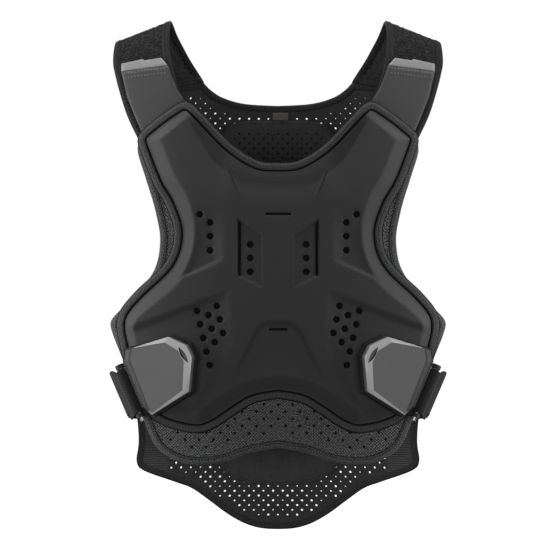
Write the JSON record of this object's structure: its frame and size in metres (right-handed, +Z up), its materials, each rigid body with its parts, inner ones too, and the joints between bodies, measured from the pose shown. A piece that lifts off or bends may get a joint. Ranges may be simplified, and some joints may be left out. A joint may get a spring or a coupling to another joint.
{
  "type": "motocross body armor vest",
  "caption": "Sleeveless chest protector vest: vented moulded chest plate on a mesh front, mesh back panel, over-shoulder straps and side straps with clip buckles.",
  "frame": {"origin": "midway between the two shoulder straps, level with their crests, where the vest hangs on the wearer's shoulders", "axes": "+Z up along the wearer's spine, -Y out of the chest, +X to the right as seen from the front"},
  "size_m": [0.333, 0.2586, 0.5179],
  "materials": {
    "plate": "textile-skinned moulded foam",
    "mesh": "perforated knit mesh",
    "binding": "woven edge tape",
    "tab": "smooth stretch fabric",
    "pile": "loop pile",
    "lining": "fine knit lining",
    "webbing": "woven webbing",
    "tip": "moulded silver-grey rubber",
    "cover": "satin grey plastic",
    "base": "black plastic",
    "steel": "bright pin"
  },
  "bodies": {
    "root": {"front_panel": "mesh", "front_binding": "binding", "chest_plate": "plate", "plate_binding": "binding", "back_panel": "mesh", "back_binding": "binding", "back_pad": "lining", "shoulder_strap_right": "pile", "strap_binding_right": "binding", "shoulder_tab_right": "tab", "tab_tip_right": "tip", "buckle_base_right": "base", "buckle_cover_right": "cover", "buckle_pin_right": "steel", "side_strap_right": "webbing", "shoulder_strap_left": "pile", "strap_binding_left": "binding", "shoulder_tab_left": "tab", "tab_tip_left": "tip", "buckle_base_left": "base", "buckle_cover_left": "cover", "buckle_pin_left": "steel", "side_strap_left": "webbing"}
  },
  "joints": []
}
